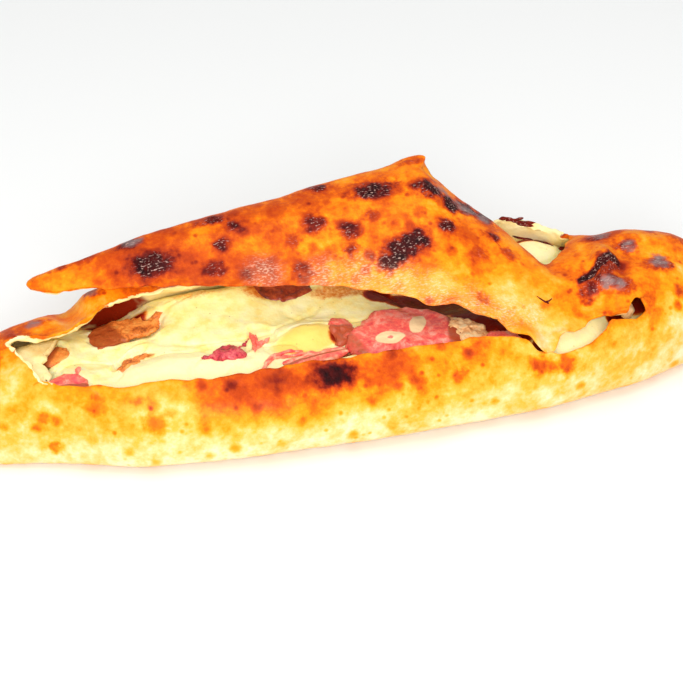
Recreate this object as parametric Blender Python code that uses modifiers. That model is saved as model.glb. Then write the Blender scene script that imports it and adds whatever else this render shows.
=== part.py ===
"""Closed pide: a boat-shaped loaf of thin baked dough with cheese and cured meat inside.

The top crust has been torn loose along both long sides and lifts as one domed flap that
stays joined to the loaf at its right end. Lengths below are in millimetres and are
multiplied by MM when points are made. X runs along the loaf, -Y is its front, +Z is up.
"""
import bpy
import bmesh
import math
from mathutils import Vector, noise
from mathutils.bvhtree import BVHTree

MM = 0.001

# ---- driving sizes -------------------------------------------------------------------
HALF_LENGTH = 190.0      # from the middle of the loaf to either tip
MIDDLE_X = 7.0
HALF_WIDTH = 49.0        # at the widest section
HEIGHT = 51.0            # of the closed arch
FRONT_DROP = 7.0         # how far the torn front wall has sunk below the arch
BELLY = 0.33             # height of the widest line as a share of the height
WALL = 3.0               # thickness of the baked dough
GAP = 0.7                # clearance between the dough and the filling
STATIONS = 48            # sections along the loaf
HINGE_X = 116.0          # where the tears end and the flap joins the loaf
HOLE = (116.0, 132.0)    # small hole torn in the front shoulder, from and to x
LEFT_END_X = -137.0      # where the opening ends at the left
LEFT_SLANT = -0.48       # how far that end leans, mm along X for each mm along Y

# Angles round a section: 0 back, 90 top, 180 front, -90 base.
# Where the torn edges run, as (x, angle).
FRONT_TEAR = ((-183, 128), (-127, 130), (-105, 131), (-65, 132), (-20, 129), (30, 130),
              (56, 132), (72, 136), (79, 152), (86, 159), (106, 157), (HINGE_X, 150),
              (124, 151), (HOLE[1], 142), (197, 140))
TOP_FRONT = ((HINGE_X, 146), (120, 142), (122.5, 132), (128, 129), (HOLE[1], 142), (197, 140))
BACK_TEAR = ((-183, 80), (-140, 84), (-117, 81), (-103, 75), (-79, 66), (-58, 60),
             (0, 52), (60, 50), (90, 50), (113, 52), (HINGE_X, 56), (130, 60), (197, 62))

# The flap from its hinge to its left tip: torn front edge, ridge, torn back edge.
FLAP = (
    ((109, -25, 35.5), (110, -4, 50), (106, 12, 48)),
    ((99, -30, 35), (103, -8, 48), (98, 4, 46.5)),
    ((90, -34.5, 35), (96, -6, 47.5), (93, 6, 46)),
    ((86, -37.5, 33.5), (92, 0, 49.5), (90, 10, 47.5)),
    ((81.5, -39, 31.5), (88, 6, 52), (86, 15, 50)),
    ((77, -37, 37), (82, 13, 56), (82, 22, 53.5)),
    ((71, -34.5, 39), (76, 20, 60), (77, 28, 57.5)),
    ((62, -31, 42), (67, 28, 65), (69, 35, 62.5)),
    ((51, -27, 46), (58, 37, 71), (60, 44, 68.5)),
    ((40, -21, 50), (50, 50, 80), (53, 54, 81)),
    ((24, -12, 53), (36, 48, 79), (37, 55, 75)),
    ((4, -5, 56), (14, 46, 78), (14, 52, 73)),
    ((-20, 0, 57.5), (-10, 42, 76), (-10, 48, 71)),
    ((-45, 5, 58), (-35, 39, 74), (-35, 44, 69)),
    ((-68, 11, 58), (-60, 37, 71), (-60, 42, 66)),
    ((-90, 17, 57), (-83, 35, 67), (-83, 39, 63)),
    ((-108, 22, 56), (-104, 33, 62), (-104, 36, 59)),
    ((-119, 24, 54.5), (-119, 33, 58.5), (-119, 36, 56)),
)
FLAP_DOME = 0.085        # rise of the dome as a share of the flap's width
FLAP_STEPS = 12          # faces across the flap
PLACE = (-MIDDLE_X, -3.3)  # moves the whole loaf so that its outline is centred


def wave(value, seed):
    """Smooth, repeatable unevenness between -1 and 1."""
    return noise.noise(Vector((value, seed * 3.7, seed * 1.3)))


def along(table, x):
    """Value of a (x, value) table at x, eased between its entries."""
    if x <= table[0][0]:
        return table[0][1]
    for (x0, v0), (x1, v1) in zip(table, table[1:]):
        if x <= x1:
            t = (x - x0) / (x1 - x0)
            return v0 + (v1 - v0) * t
    return table[-1][1]


def plan(x):
    """Half width and height of the closed arch at x."""
    u = min(abs((x - MIDDLE_X) / HALF_LENGTH), 1.0)
    return HALF_WIDTH * (1 - u ** 2.8) ** 0.85, HEIGHT * (1 - u ** (9 if x > 0 else 7.5)) ** 0.85


def bump(d, r):
    """Round hill of radius r at distance d."""
    return max(0.0, 1 - (d / r) ** 2) ** 2


def arch(x, angle, inset=0.0, sink=1.0):
    """Point on the loaf's skin, or the same amount inside it all round."""
    w, h = plan(x)
    w, belly = w - inset, BELLY * h
    a = math.radians(angle)
    c, s = math.cos(a), math.sin(a)
    middle = 1.0 * (1 - ((x - MIDDLE_X) / HALF_LENGTH) ** 2)
    n = 2.4 if s >= 0 else 4.0
    y = middle + w * math.copysign(abs(c) ** (2 / n), c)
    if s >= 0:
        top = h - inset
        if c < 0:
            top -= sink * FRONT_DROP * max(0.0, 1 - (abs(x + 5) / 112) ** 4) * min(1.0, -2 * c)
        z = belly + (top - belly) * s ** (2 / n)
    else:
        z = max(inset, belly - (belly + 1.5 - inset) * abs(s) ** 0.5)
    return Vector((x, y, z))


def skin(x, angle, inset=0.0):
    """The loaf's outer skin with its humps, hollows and the flared back wall."""
    p = arch(x, angle, inset)
    up = max(0.0, math.sin(math.radians(angle)))
    # the torn back wall leans out and up where the flap was pulled off it
    lean = bump(x - 84, 34) if x > 84 else bump(x - 84, 70)
    reach = min(1.0, max(0.0, angle / 50)) if angle < 95 else 0.0
    p.y += 8 * lean * reach ** 1.5
    p.z += 5 * lean * reach ** 1.5
    # hump in the crust at the back left, beside the flap's tip
    p.z += 3.5 * bump(math.hypot(x + 88, p.y - 36), 26) * up
    # the burnt fold on the right top, a little tent beside a pit
    if x > 95 and up > 0.5:
        p.z += 4.5 * bump(math.hypot((x - 119) * 0.8, p.y + 2), 11)
        p.z -= 3.5 * bump(math.hypot(x - 129, p.y + 3), 9)
    # slow unevenness of a hand-shaped loaf
    swell = 0.9 * wave(x / 23 + angle / 40, 1) + 0.6 * wave(x / 11 - angle / 30, 2)
    p.z += swell * up
    p.y += swell * (1 - up) * (1 if abs(angle) < 90 else -1) * (1 if p.z > 2 else 0)
    return p


def blend(points, t):
    """Catmull-Rom curve through the points, t from 0 to 1."""
    n = len(points) - 1
    k = min(int(t * n), n - 1)
    u = t * n - k
    p0, p1 = points[max(k - 1, 0)], points[k]
    p2, p3 = points[k + 1], points[min(k + 2, n)]
    return 0.5 * (2 * p1 + (p2 - p0) * u + (2 * p0 - 5 * p1 + 4 * p2 - p3) * u ** 2
                  + (3 * p1 - p0 - 3 * p2 + p3) * u ** 3)


def flap_row(front, ridge, back):
    """Points across the flap: a shallow dome up to the ridge, then the rolled back edge."""
    front, ridge, back = Vector(front), Vector(ridge), Vector(back)
    chord = ridge - front
    rise = Vector((0, -chord.z, math.hypot(chord.x, chord.y))).normalized()
    row = []
    climb = FLAP_STEPS - 2
    for j in range(FLAP_STEPS + 1):
        if j <= climb:
            t = j / climb
            p = front + chord * t + rise * chord.length * FLAP_DOME * 6.75 * t * t * (1 - t)
        else:
            t = (j - climb) / 2
            p = ridge.lerp(back, t) + Vector((0, 0.8, 1.2)) * (1 - abs(2 * t - 1))
        row.append(p)
    return row


def station_xs():
    xs = []
    for i in range(STATIONS + 1):
        t = 1 - 2 * i / STATIONS
        xs.append(MIDDLE_X + HALF_LENGTH * (0.75 * t + 0.25 * math.sin(math.pi / 2 * t)))
    # sections fall exactly on the ends of the tears, and closer together at the hole
    for x in (HINGE_X, HOLE[1], LEFT_END_X):
        xs[min(range(len(xs)), key=lambda i: abs(xs[i] - x))] = x
    xs = [x for x in xs if not HOLE[0] < x < HOLE[1]]
    return sorted(xs + [120, 122.5, 128], reverse=True)


def slanted(x, y):
    """Sections lean near the left end of the opening."""
    return x + LEFT_SLANT * y * math.exp(-((x - LEFT_END_X) / 26) ** 2)


LOWER = (0.75, 0.5, 0.25)                        # shares of the way down a torn wall
ROUND = (0, -16, -34, -52, -72, -90, -108, -128, -146, -164, -180)


def wall_angles(x):
    """Angles from the back tear down round the base to the front tear."""
    back, front = along(BACK_TEAR, x), along(FRONT_TEAR, x) - 360
    a = [back] + [back * s for s in LOWER] + list(ROUND)
    return a + [-180 + (front + 180) * s for s in (0.25, 0.5, 0.75, 1.0)]


def top_angles(x):
    """Angles from the back tear over the top to the front tear."""
    back, front = along(BACK_TEAR, x), along(TOP_FRONT if x > 0 else FRONT_TEAR, x)
    return [front + (back - front) * j / FLAP_STEPS for j in range(FLAP_STEPS + 1)]


def material(name, colour, roughness):
    m = bpy.data.materials.new(name)
    m.use_nodes = True
    bsdf = m.node_tree.nodes["Principled BSDF"]
    bsdf.inputs["Base Color"].default_value = (*colour, 1)
    bsdf.inputs["Roughness"].default_value = roughness
    bsdf.inputs["Metallic"].default_value = 0.0
    return m


def new_object(name, bm, colour, roughness):
    bmesh.ops.recalc_face_normals(bm, faces=bm.faces)
    mesh = bpy.data.meshes.new(name)
    bm.to_mesh(mesh)
    bm.free()
    mesh.shade_smooth()
    mesh.materials.append(material(name, colour, roughness))
    obj = bpy.data.objects.new(name, mesh)
    loaf.objects.link(obj)
    return obj


def strip(bm, rows, group=None):
    """Quads between neighbouring rows of vertices; shared vertices give triangles."""
    for a, b in zip(rows, rows[1:]):
        for j in range(len(a) - 1):
            ring = [a[j], a[j + 1], b[j + 1], b[j]]
            ring = [v for i, v in enumerate(ring) if v not in ring[:i]]
            if len(ring) > 2:
                bm.faces.new(ring)


# ---- scene ---------------------------------------------------------------------------
for old in list(bpy.data.objects):
    bpy.data.objects.remove(old)
loaf = bpy.data.collections.new("closed_pide")
bpy.context.scene.collection.children.link(loaf)

# ---- crust: loaf and flap as one sheet, thickened inwards ----------------------------
bm = bmesh.new()
weight = bm.verts.layers.deform.verify()


def vert(p, share):
    v = bm.verts.new(p * MM)
    v[weight][0] = share
    return v


def thickness(x, torn):
    """Share of WALL: thinner at the torn edges and towards the tips."""
    end = 1 - min(abs((x - MIDDLE_X) / HALF_LENGTH), 1.0)
    return min(1.0, 0.22 + end * 4) * (0.72 if torn else 1.0)


xs = station_xs()
walls, tops_right, tops_left = [], [], []
hinge = min(range(len(xs)), key=lambda i: abs(xs[i] - HINGE_X))
left = min(range(len(xs)), key=lambda i: abs(xs[i] - LEFT_END_X))
for i, x in enumerate(xs):
    if i in (0, len(xs) - 1):
        continue
    row = []
    for k, a in enumerate(wall_angles(x)):
        p = skin(x, a)
        p.x = slanted(x, p.y)
        edge = k in (0, len(wall_angles(x)) - 1)
        free = hinge < i < left or (k > 0 and HOLE[0] <= x < HOLE[1])
        if edge and free:
            p.z += (1.0 if k == 0 else 0.5) * wave(x / 3.1, 5 + k)
            if k == 0:                       # flakes of browned crust stand on this edge
                p.z += 2.2 * bump(x - 95, 14) * (0.4 + abs(wave(x / 2.3, 8)) * 2)
        row.append(vert(p, thickness(x, edge and free)))
    walls.append(row)
    if i <= hinge or i >= left:
        top = []
        torn = HOLE[0] <= x < HOLE[1]
        for j, a in enumerate(top_angles(x)):
            if j == 0 and not torn:
                top.append(row[-1])
            elif j == FLAP_STEPS:
                top.append(row[0])
            else:
                p = skin(x, a)
                p.x = slanted(x, p.y)
                top.append(vert(p, thickness(x, torn and j == 0)))
        (tops_right if i <= hinge else tops_left).append(top)

# flap rows, eased into the closed crust at the hinge
guide = [[v.co / MM for v in tops_right[-2]], [v.co / MM for v in tops_right[-1]]]
guide += [flap_row(*r) for r in FLAP]
flap = []
for k in range(1, len(guide) - 1):
    span = (guide[k][6] - guide[k + 1][6]).length
    steps = max(1, round(span / 9.0))
    for s in range(steps):
        if k == 1 and s == 0:
            continue
        u = s / steps
        row = []
        for j in range(FLAP_STEPS + 1):
            four = [guide[max(k - 1, 0)][j], guide[k][j], guide[k + 1][j],
                    guide[min(k + 2, len(guide) - 1)][j]]
            p = blend(four, (1 + u) / 3)
            p.z += 0.8 * wave(p.x / 13 + j * 0.35, 9)
            if j in (0, FLAP_STEPS):
                p.z += 0.7 * wave(p.x / 2.7, 12 + j)
            row.append(vert(p, 0.72 if j in (0, FLAP_STEPS) else 0.95))
        flap.append(row)
row = [vert(p, 0.6) for p in guide[-1]]
flap.append(row)
tip = vert(Vector((-127, 31, 54.5)), 0.5)

strip(bm, walls)
strip(bm, tops_right)
strip(bm, tops_left)
strip(bm, [tops_right[-1]] + flap)
for a, b in zip(row, row[1:]):
    bm.faces.new((a, b, tip))
for ring, x, z in ((walls[0][1:-1] + tops_right[0], xs[0], 9.0),
                   (walls[-1][1:-1] + tops_left[-1], xs[-1], 9.0)):
    pole = vert(Vector((x, 0, z)), 0.3)
    for a, b in zip(ring, ring[1:] + ring[:1]):
        bm.faces.new((a, b, pole))

crust = new_object("crust", bm, (0.92, 0.50, 0.12), 0.35)
crust.vertex_groups.new(name="wall")
shell = crust.modifiers.new("dough thickness", "SOLIDIFY")
shell.thickness = WALL * MM
shell.offset = -1
shell.use_even_offset = True
shell.thickness_clamp = 0.0
shell.vertex_group = "wall"
shell.thickness_vertex_group = 0.0


# ---- filling -------------------------------------------------------------------------
# Lumps and hollows of the melted cheese: centre x, y, reach along x, y, height.
CHEESE = (
    (-78, -13, 26, 13, 4.0), (-50, -17, 24, 11, 3.5),     # lumps along the front rim
    (-15, -4, 18, 12, 5.0),                               # the yellow bulge
    (-32, 38, 70, 28, 9.5),                               # the sheet that climbs the back
    (-116, -15, 18, 12, 4.5),                             # under the left slice
    (-88, 19, 21, 13, -4.5), (-92, 35, 24, 12, -12.0),    # torn open over brown meat
    (-120, 10, 9, 11, -3.5), (-128, -2, 12, 22, -6.0),
    (-90, -3, 12, 5, -1.5), (-50, -8, 14, 8, -1.5),
    (-24, 26, 17, 9, -5.0),
    (52, 14, 40, 22, -8.0),                               # dark hollow under the flap
    (100, -26, 26, 22, 5.0), (98, 28, 24, 22, 6.0),       # thick cheese near the hinge
)


def cheese_top(x, y):
    """Height of the cheese's surface."""
    z = 32.0 + 2.2 * max(0.0, min(1.0, (x + 130) / 60)) + 0.035 * y
    for cx, cy, rx, ry, high in CHEESE:
        z += high * bump(math.hypot((x - cx) / rx, (y - cy) / ry), 1.0)
    z += 0.7 * wave(x / 9 + y / 14, 21) + 0.5 * wave(y / 7 - x / 16, 22)
    # stay under the flap where it comes down to the hinge, and under the closed crust
    if x > 66:
        z = min(z, 30.0 - 3.5 * max(0.0, min(1.0, (x - 94) / 10)) + 0.5 * (y + 33))
    return z


CORE_ENDS = (-126.0, 150.0)
CORE_STEPS = 14


def core_ring(x):
    """One section of the filling: across its top, then down and round inside the wall."""
    inset = WALL + GAP + 1.4 * bump(x + 116, 45)
    sides = []
    for start, step in ((0, 1), (180, -1)):
        a = start
        while a * step < (start + step * 84) * step:
            p = skin(x, a, inset)
            if p.z >= cheese_top(x, p.y):
                break
            a += step
        sides.append(a)
    back, front = sides
    yb, yf = skin(x, back, inset).y, skin(x, front, inset).y
    ring = []
    for j in range(CORE_STEPS + 1):
        y = yf + (yb - yf) * j / CORE_STEPS
        ring.append(Vector((slanted(x, y), y, cheese_top(x, y))))
    down = [back * s for s in (0.66, 0.33)] + list(ROUND)
    down += [-180 - (180 - front) * s for s in (0.33, 0.66)]
    for a in down:
        p = skin(x, a, inset)
        p.x = slanted(x, p.y)
        ring.append(p)
    return ring


bm = bmesh.new()
rings = [[bm.verts.new(p * MM) for p in core_ring(x)]
         for x in xs if CORE_ENDS[0] <= x <= CORE_ENDS[1]]
for a, b in zip(rings, rings[1:]):
    for j in range(len(a)):
        k = (j + 1) % len(a)
        bm.faces.new((a[j], a[k], b[k], b[j]))
for ring in (rings[0], rings[-1]):
    middle = sum((v.co for v in ring), Vector()) / len(ring)
    pole = bm.verts.new(middle + Vector((4 if ring is rings[0] else -4, 0, 0)) * MM)
    for j in range(len(ring)):
        bm.faces.new((ring[j], ring[(j + 1) % len(ring)], pole))
bmesh.ops.triangulate(bm, faces=bm.faces)
surface = BVHTree.FromBMesh(bm)
new_object("cheese", bm, (0.98, 0.90, 0.60), 0.35)


def on_cheese(x, y):
    """Height of the finished cheese surface below a point, in millimetres."""
    hit = surface.ray_cast(Vector((x, y, 100)) * MM, Vector((0, 0, -1)))[0]
    return hit.z / MM if hit else cheese_top(x, y)


def laid(bm, centre, size, turn, thick, puff=0.0, seed=0, lift=0.8, point=0.0):
    """Drape a unit shape over the cheese: bottoms follow it, tops stand thick above it."""
    c, s = math.cos(math.radians(turn)), math.sin(math.radians(turn))
    for v in bm.verts:
        u, w, t = v.co
        narrow = 1 - point * (u + 1) / 2
        u += 0.10 * wave(w * 2.3, seed + 3)
        w = w * narrow + 0.16 * wave(u * 2.1, seed)
        x = centre[0] + u * size[0] / 2 * c - w * size[1] / 2 * s
        y = centre[1] + u * size[0] / 2 * s + w * size[1] / 2 * c
        rise = max(0.0, 1 - min(1.0, math.hypot(u, w)) ** 2)
        base = on_cheese(x, y) + lift
        high = (t + 1) / 2 * thick + puff * rise * (0.8 + 0.5 * wave(u * 2 + w, seed + 7))
        v.co = Vector((x, y, base + max(0.0, high))) * MM


def chunk(name, centre, size, turn, thick, colour, **more):
    """A lump of meat: a ball pressed onto the cheese."""
    bm = bmesh.new()
    bmesh.ops.create_icosphere(bm, subdivisions=3 if size[0] > 22 else 2, radius=1.0)
    for v in bm.verts:
        v.co.z = max(-1.0, min(1.0, v.co.z * 1.6))
    laid(bm, centre, size, turn, thick, **more)
    return new_object(name, bm, colour, 0.4)


def slice_of_meat(name, centre, size, turn, thick, colour, steps=(12, 7), **more):
    """A thin slice with a rounded outline, rumpled over the cheese."""
    bm = bmesh.new()
    bmesh.ops.create_grid(bm, x_segments=steps[0], y_segments=steps[1], size=1.0)
    for v in bm.verts:                       # square to rounded outline
        u, w = v.co.x, v.co.y
        v.co.x = u * math.sqrt(1 - w * w / 2.4)
        v.co.y = w * math.sqrt(1 - u * u / 2.4)
    low = bm.faces[:]
    top = bmesh.ops.extrude_face_region(bm, geom=low)
    for v in top["geom"]:
        if isinstance(v, bmesh.types.BMVert):
            v.co.z = 1.0
    for v in bm.verts:
        if v.co.z != 1.0:
            v.co.z = -1.0
    laid(bm, centre, size, turn, thick, **more)
    return new_object(name, bm, colour, 0.35)


PINK, RUST, BROWN, GREY = (0.80, 0.16, 0.16), (0.42, 0.09, 0.03), (0.30, 0.10, 0.04), (0.55, 0.45, 0.32)
slice_of_meat("meat_slice_large", (21, -11), (48, 25), 4, 2.2, PINK, puff=3.0, seed=31)
slice_of_meat("meat_slice_left", (-113, -13.5), (15, 7), 4, 1.4, PINK, steps=(8, 4), puff=1.0,
              seed=33, lift=1.5)
slice_of_meat("meat_strip_rim", (-20, -22.5), (38, 5), 7, 1.4, PINK, steps=(12, 3), puff=1.0, seed=35)
chunk("meat_chunk_dark", (-50, -7), (19, 11), -12, 2.6, PINK, puff=1.0, seed=37)
chunk("meat_shreds", (-34, 0), (8, 13), 20, 1.4, PINK, seed=39)
chunk("meat_chunk_middle", (-6, 3), (13, 10), 60, 2.4, PINK, puff=1.0, seed=41)
chunk("crumbly_chunk", (54, -19), (17, 14), -25, 4.0, GREY, puff=1.5, seed=43)
chunk("meat_bump_right", (69, -26), (12, 6), -10, 3.0, PINK, seed=45)
slice_of_meat("meat_brown_patch", (-88, 18), (30, 15), 8, 1.8, RUST, steps=(9, 5), seed=47)
slice_of_meat("meat_brown_left", (-120, 9), (9, 14), 10, 1.4, RUST, steps=(5, 6), seed=49)
slice_of_meat("meat_brown_tear", (-90, -3), (17, 5), 38, 1.2, RUST, steps=(7, 3), seed=51)
slice_of_meat("meat_brown_back", (-24, 24), (25, 9), -4, 1.6, BROWN, steps=(8, 4), seed=53)
chunk("meat_bit_hole", (124, -22), (8, 6), 30, 3.5, GREY, seed=55)

# Every piece is placed so that the origin is under the middle of the loaf's outline.
for obj in loaf.objects:
    obj.location = (PLACE[0] * MM, PLACE[1] * MM, 0.0)
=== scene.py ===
# %% [markdown]
# # A closed pide, torn open along its top
# A pide is a boat-shaped loaf of thin yeasted dough. Here two long sides were folded over
# cheese and cured meat, brushed with butter, and baked on hot stone until the top blistered
# and charred in spots. The top crust has been torn loose and lifts as one domed flap.
#
# The solids of the part carry the true sizes. So the crust and the cheese below start from
# copies of their solids and only gain the small forms that a faceted solid leaves out, and
# each morsel of meat is laid on the outline that its solid has.

# %% Load the measured part
import math
import bmesh
import bpy
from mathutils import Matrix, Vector, noise
from mathutils.bvhtree import BVHTree
from mathutils.kdtree import KDTree


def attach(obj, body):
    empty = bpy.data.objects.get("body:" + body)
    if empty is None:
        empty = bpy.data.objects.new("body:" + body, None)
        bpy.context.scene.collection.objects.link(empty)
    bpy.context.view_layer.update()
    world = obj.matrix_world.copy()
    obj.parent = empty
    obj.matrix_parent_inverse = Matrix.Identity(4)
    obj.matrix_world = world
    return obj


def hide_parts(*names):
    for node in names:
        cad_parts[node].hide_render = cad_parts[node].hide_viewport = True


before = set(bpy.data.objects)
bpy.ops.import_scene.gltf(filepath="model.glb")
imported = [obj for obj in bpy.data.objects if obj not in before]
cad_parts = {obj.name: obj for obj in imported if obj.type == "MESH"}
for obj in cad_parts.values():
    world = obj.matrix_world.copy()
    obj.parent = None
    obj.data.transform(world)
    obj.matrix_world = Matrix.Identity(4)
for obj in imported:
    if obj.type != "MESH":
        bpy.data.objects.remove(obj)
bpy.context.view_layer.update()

MM = 0.001

# %% [markdown]
# ## Small tools
# Colours are written as on a paint chart, in sRGB hex, and turned to the linear values that
# shaders need by one function. One function adds a shader node with its settings, its
# inputs and its colour stops. A pattern's scale is the number of features in a metre, so
# it is worked out from the feature's size in millimetres.

# %% Colour, node and size helpers
def linear(hex_colour):
    """Linear colour of an sRGB hex value such as "F59A1E"."""
    parts = [int(hex_colour[i:i + 2], 16) / 255 for i in (0, 2, 4)]
    return (*[c / 12.92 if c <= 0.04045 else ((c + 0.055) / 1.055) ** 2.4 for c in parts], 1.0)


def features(mm):
    """Scale of a pattern whose features are this many millimetres apart."""
    return 1000.0 / mm


def add(tree, kind, inputs=None, stops=None, out=0, **settings):
    """Add one shader node: settings, input values or links, colour stops. Gives one output."""
    node = tree.nodes.new("ShaderNode" + kind)
    for name, value in settings.items():
        setattr(node, name, value)
    for name, value in (inputs or {}).items():
        if isinstance(value, bpy.types.NodeSocket):
            tree.links.new(value, node.inputs[name])
        else:
            node.inputs[name].default_value = value
    if stops:
        marks = node.color_ramp.elements
        while len(marks) < len(stops):
            marks.new(1.0)
        for mark, (place, colour) in zip(marks, stops):
            mark.position, mark.color = place, linear(colour)
    return node.outputs[out] if node.outputs else None


def new_finish(name):
    """An empty material, its node tree, and the Object coordinates in it."""
    finish = bpy.data.materials.new(name)
    finish.use_nodes = True
    finish.node_tree.nodes.clear()
    place = add(finish.node_tree, "TexCoord", out="Object")
    return finish, finish.node_tree, place


print("orange crust in linear light:", [round(c, 3) for c in linear("F59A1E")])


# %% Unevenness and hills, in millimetres
def hill(distance):
    """Round hill: 1 at distance 0, easing to 0 at distance 1."""
    return max(0.0, 1 - distance * distance) ** 2


def ease(value, low, high):
    """Smooth step from 0 at low to 1 at high."""
    t = max(0.0, min(1.0, (value - low) / (high - low)))
    return t * t * (3 - 2 * t)


def rough(p, size, seed):
    """Repeatable unevenness between -1 and 1 with lumps of this size, p in mm.

    The seed slides the pattern, so that each use of it has lumps of its own.
    """
    return noise.noise(Vector((p.x / size + seed * 7.3, p.y / size - seed * 3.1, p.z / size)))


def fine(p, size, seed):
    """Unevenness with three sizes of lump, each half the one before."""
    return sum(rough(p, size / part, seed + i) / part for i, part in enumerate((1, 2, 4)))


print("a hill halfway down:", round(hill(0.5), 3), "and at its foot:", hill(1.0))


# %% [markdown]
# ## From a faceted solid to a smooth form
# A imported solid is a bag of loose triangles. Merging its doubles and pairing its triangles
# brings back the quads that a Subdivision Surface needs. The modifier is applied at once,
# because the small forms are then pressed into its finer mesh, vertex by vertex.

# %% Copy, smooth and finish a piece
SAME_POINT = 0.02 * MM      # vertices this close are one


def in_scene(name, data):
    """An object for a mesh, a camera or a lamp, in the scene."""
    obj = bpy.data.objects.new(name, data)
    bpy.context.scene.collection.objects.link(obj)
    return obj


def copy_of(node):
    """A bmesh of a solid with its doubles merged and its triangles paired."""
    bm = bmesh.new()
    bm.from_mesh(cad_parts[node].data)
    for layer in list(bm.loops.layers.uv.values()):
        bm.loops.layers.uv.remove(layer)
    bmesh.ops.remove_doubles(bm, verts=bm.verts, dist=SAME_POINT)
    bmesh.ops.join_triangles(bm, faces=bm.faces, angle_face_threshold=0.9,
                             angle_shape_threshold=1.2)
    return bm


def smoothed(bm, levels):
    """The bmesh under a Subdivision Surface, as a new bmesh."""
    mesh = bpy.data.meshes.new("rough")
    bm.to_mesh(mesh)
    bm.free()
    carrier = in_scene("rough", mesh)
    surface = carrier.modifiers.new("smooth", "SUBSURF")
    surface.levels = surface.render_levels = levels
    out = bmesh.new()
    out.from_object(carrier, bpy.context.evaluated_depsgraph_get())
    bpy.data.objects.remove(carrier)
    bpy.data.meshes.remove(mesh)
    out.normal_update()
    return out


def press(bm, move):
    """Move every vertex by move(point in mm, normal), a vector in mm."""
    bm.normal_update()
    shifts = [move(v.co / MM, v.normal) for v in bm.verts]
    for v, shift in zip(bm.verts, shifts):
        v.co += shift * MM
    bm.normal_update()


def paint(bm, name, value):
    """Store value(point in mm, vertex) on every vertex as a named attribute."""
    layer = bm.verts.layers.float.get(name) or bm.verts.layers.float.new(name)
    for v in bm.verts:
        v[layer] = value(v.co / MM, v)


def finished(name, bm, finish, slot, *nodes):
    """Make the piece's object, let it ride on the loaf and stand for its solids."""
    mesh = bpy.data.meshes.new(name)
    bm.to_mesh(mesh)
    bm.free()
    mesh.shade_smooth()
    mesh.materials.clear()
    mesh.materials.append(finish)
    obj = in_scene(name, mesh)
    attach(obj, "root")
    if nodes:
        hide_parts(*nodes)
    triangles = sum(len(f.vertices) - 2 for f in mesh.polygons)
    print(f"{name}: {triangles} triangles")


# %% [markdown]
# ## The crust: where it is browned and burnt
# Thin dough lies close to the oven's heat, so it browns by height: the sides stay cream
# where they rise from the stone, and the top turns orange. Where the dough blisters, the
# blister chars. Both are facts about places on the loaf, so they are kept as short lists of
# named places and turned into numbers on the crust's vertices. The alternative, one noise
# texture for everything, gives spots but not these spots.

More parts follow.
